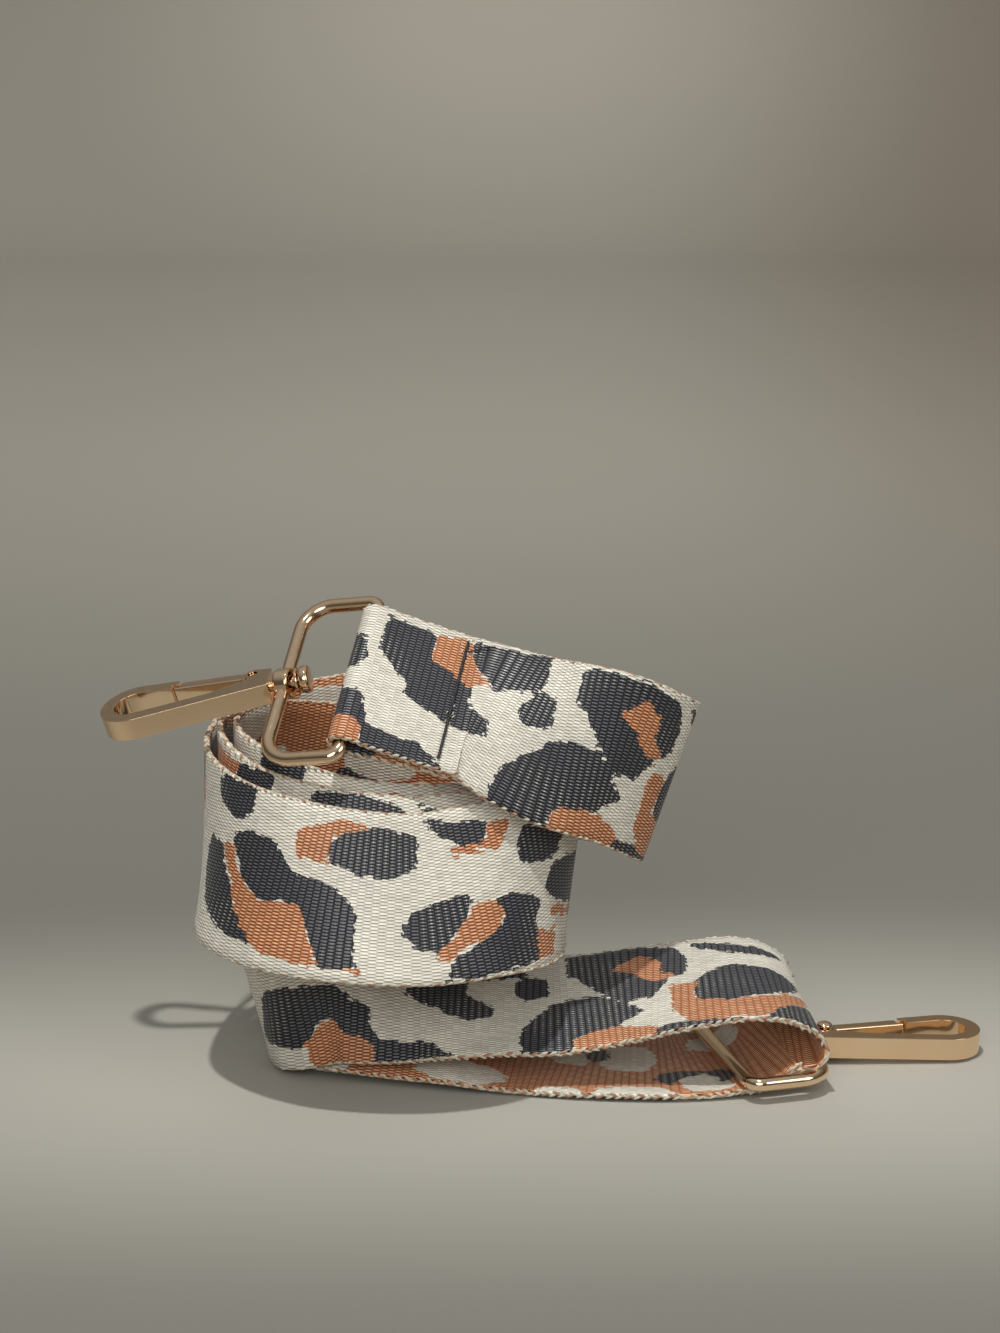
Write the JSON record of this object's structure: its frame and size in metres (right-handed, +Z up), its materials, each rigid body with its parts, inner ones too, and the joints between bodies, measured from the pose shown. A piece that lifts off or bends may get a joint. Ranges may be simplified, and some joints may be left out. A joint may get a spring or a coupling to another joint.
{
  "type": "detachable bag strap",
  "caption": "Detachable bag strap: wide woven webbing lying coiled on its edge, with a swivelling gold snap hook on a ring at each end.",
  "frame": {"origin": "on the surface the strap lies on, under the middle of its box", "axes": "+X along the strap's long way, towards hook B; +Y to the back; +Z up, across the webbing that stands on its edge"},
  "size_m": [0.1974, 0.0926, 0.1031],
  "materials": {
    "webbing_cream": "woven cream jacquard with black and tan leopard spots, soft sheen",
    "black_thread": "black sewing thread",
    "pale_gold": "polished pale gold plating",
    "spring_steel": "bright spring steel"
  },
  "bodies": {
    "strap": {"webbing": "webbing_cream", "fold_seam_needle_thread": "black_thread", "fold_seam_bobbin_thread": "black_thread", "slider": "pale_gold", "slider_seam_needle_thread": "black_thread", "slider_seam_bobbin_thread": "black_thread"},
    "ring_a": {"ring_a": "pale_gold"},
    "hook_a": {"hook_a_body": "pale_gold", "hook_a_gate_pin": "spring_steel", "hook_a_gate_spring": "spring_steel", "hook_a_swivel_cap": "pale_gold", "hook_a_swivel_washer": "pale_gold"},
    "gate_a": {"hook_a_gate": "pale_gold"},
    "ring_b": {"ring_b": "pale_gold"},
    "hook_b": {"hook_b_body": "pale_gold", "hook_b_gate_pin": "spring_steel", "hook_b_gate_spring": "spring_steel", "hook_b_swivel_cap": "pale_gold", "hook_b_swivel_washer": "pale_gold"},
    "gate_b": {"hook_b_gate": "pale_gold"}
  },
  "joints": [
    {"name": "ring_a_swing", "type": "hinge", "parent": "strap", "child": "ring_a", "pos_m": [-0.04059, -0.00857, 0.0893], "axis": [0.1919, 0.7972, 0.5724], "range_deg": [0, 80]},
    {"name": "hook_a_swivel", "type": "hinge", "parent": "ring_a", "child": "hook_a", "pos_m": [-0.05727, -0.00246, 0.08638], "axis": [-0.9606, 0.1423, -0.2389], "continuous": true},
    {"name": "gate_a_swing", "type": "hinge", "parent": "hook_a", "child": "gate_a", "pos_m": [-0.06395, 0.00114, 0.08525], "axis": [-0.2635, -0.1921, 0.9453], "range_deg": [0, 20], "stiffness_Nm_per_rad": 0.01, "springref_deg": -34.38},
    {"name": "ring_b_swing", "type": "hinge", "parent": "strap", "child": "ring_b", "pos_m": [0.03929, -0.01378, 0.00437], "axis": [-0.2756, 0.9613, 0], "range_deg": [0, 60]},
    {"name": "hook_b_swivel", "type": "hinge", "parent": "ring_b", "child": "hook_b", "pos_m": [0.05659, -0.00881, 0.00437], "axis": [0.9872, 0.1564, -0.03], "continuous": true},
    {"name": "gate_b_swing", "type": "hinge", "parent": "hook_b", "child": "gate_b", "pos_m": [0.06329, -0.00507, 0.00416], "axis": [-0.0296, -0.0047, -0.9996], "range_deg": [0, 20], "stiffness_Nm_per_rad": 0.01, "springref_deg": -34.38}
  ]
}
